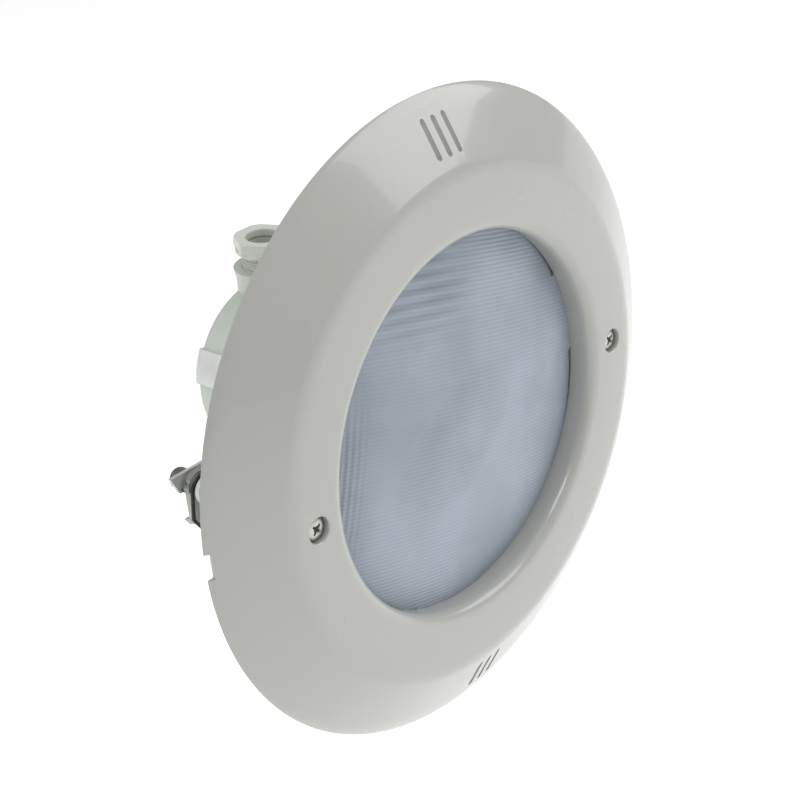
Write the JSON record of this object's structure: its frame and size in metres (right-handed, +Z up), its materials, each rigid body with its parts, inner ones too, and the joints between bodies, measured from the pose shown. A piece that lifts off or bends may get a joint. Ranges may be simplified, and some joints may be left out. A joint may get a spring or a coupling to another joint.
{
  "type": "underwater pool light",
  "caption": "Round underwater pool light: a flooded face ring over a sealed-beam lamp in a bowl, held in its wall niche by clamp screws with swinging dogs, with a cable gland behind.",
  "frame": {"origin": "centre of the plane where the face ring's rim seats on the pool wall", "axes": "+X to the right seen from the pool, through the two clamp screws; +Y back into the wall along the lamp axis; +Z up, towards the cable gland"},
  "size_m": [0.2798, 0.1313, 0.28],
  "materials": {
    "ring_plastic": "gloss white moulded ABS, slightly warm and green",
    "housing_plastic": "satin off-white moulded ABS",
    "lens_glass": "fluted clear pressed glass",
    "mirror_glass": "aluminised inside, grey outside",
    "stainless": "bright turned stainless steel",
    "strap_steel": "matt rolled stainless strip",
    "dog_steel": "blanked stainless plate",
    "dark_steel": "dull tumbled stainless steel",
    "brass": "turned brass",
    "black_rubber": "matt black rubber",
    "grey_silicone": "matt pale grey silicone",
    "white_nylon": "turned white nylon",
    "black_nylon": "moulded nylon",
    "ceramic": "unglazed steatite",
    "tungsten": "drawn wire",
    "nickel_wire": "drawn wire"
  },
  "bodies": {
    "light_body": {"face_ring": "ring_plastic", "head_o_rings": "black_rubber", "retaining_ring": "housing_plastic", "retaining_screws": "stainless", "lens_gasket": "grey_silicone", "lamp_lens": "lens_glass", "lamp_reflector": "mirror_glass", "lamp_filament": "tungsten", "filament_supports": "nickel_wire", "lamp_base": "ceramic", "lamp_terminals": "brass", "terminal_screws": "stainless", "housing_bowl": "housing_plastic", "back_strap": "strap_steel", "strap_nuts": "stainless", "clamp_brackets": "strap_steel", "bracket_rivets": "stainless", "stop_pins": "dark_steel", "spacer_sleeves": "housing_plastic", "gland_grommet": "black_rubber"},
    "gland_slide": {"gland_washer": "black_nylon"},
    "gland_screw_body": {"gland_screw": "housing_plastic"},
    "left_screw": {"left_clamp_screw": "stainless", "left_screw_clip": "dark_steel", "left_end_nut": "dark_steel"},
    "left_bush": {"left_dog_bush": "white_nylon"},
    "left_dog": {"left_clamp_dog": "dog_steel", "left_keeper_band": "black_rubber"},
    "right_screw": {"right_clamp_screw": "stainless", "right_screw_clip": "dark_steel", "right_end_nut": "dark_steel"},
    "right_bush": {"right_dog_bush": "white_nylon"},
    "right_dog": {"right_clamp_dog": "dog_steel", "right_keeper_band": "black_rubber"}
  },
  "joints": [
    {"name": "gland_travel", "type": "slide", "parent": "light_body", "child": "gland_slide", "axis": [0, 0.0698, -0.9976], "range_m": [0, 0.00451]},
    {"name": "gland_turn", "type": "hinge", "parent": "gland_slide", "child": "gland_screw_body", "pos_m": [0, 0.0988, 0.0494], "axis": [0, 0.0698, -0.9976], "range_deg": [0, 1080]},
    {"name": "left_screw_turn", "type": "hinge", "parent": "light_body", "child": "left_screw", "pos_m": [-0.0975, 0, 0], "axis": [0, 1, 0], "range_deg": [0, 7920]},
    {"name": "left_bush_travel", "type": "slide", "parent": "light_body", "child": "left_bush", "axis": [0, -1, 0], "range_m": [0, 0.02201]},
    {"name": "left_dog_swing", "type": "hinge", "parent": "left_bush", "child": "left_dog", "pos_m": [-0.0975, 0.0487, 0], "axis": [0, 1, 0], "range_deg": [0, 90]},
    {"name": "right_screw_turn", "type": "hinge", "parent": "light_body", "child": "right_screw", "pos_m": [0.0975, 0, 0], "axis": [0, 1, 0], "range_deg": [0, 7920]},
    {"name": "right_bush_travel", "type": "slide", "parent": "light_body", "child": "right_bush", "axis": [0, -1, 0], "range_m": [0, 0.02201]},
    {"name": "right_dog_swing", "type": "hinge", "parent": "right_bush", "child": "right_dog", "pos_m": [0.0975, 0.0487, 0], "axis": [0, 1, 0], "range_deg": [0, 90]}
  ],
  "couplings": [
    {"joint": "gland_travel", "follows": "gland_turn", "m_per_rad": 0.00023873},
    {"joint": "left_bush_travel", "follows": "left_screw_turn", "m_per_rad": 0.00015915},
    {"joint": "right_bush_travel", "follows": "right_screw_turn", "m_per_rad": 0.00015915}
  ]
}
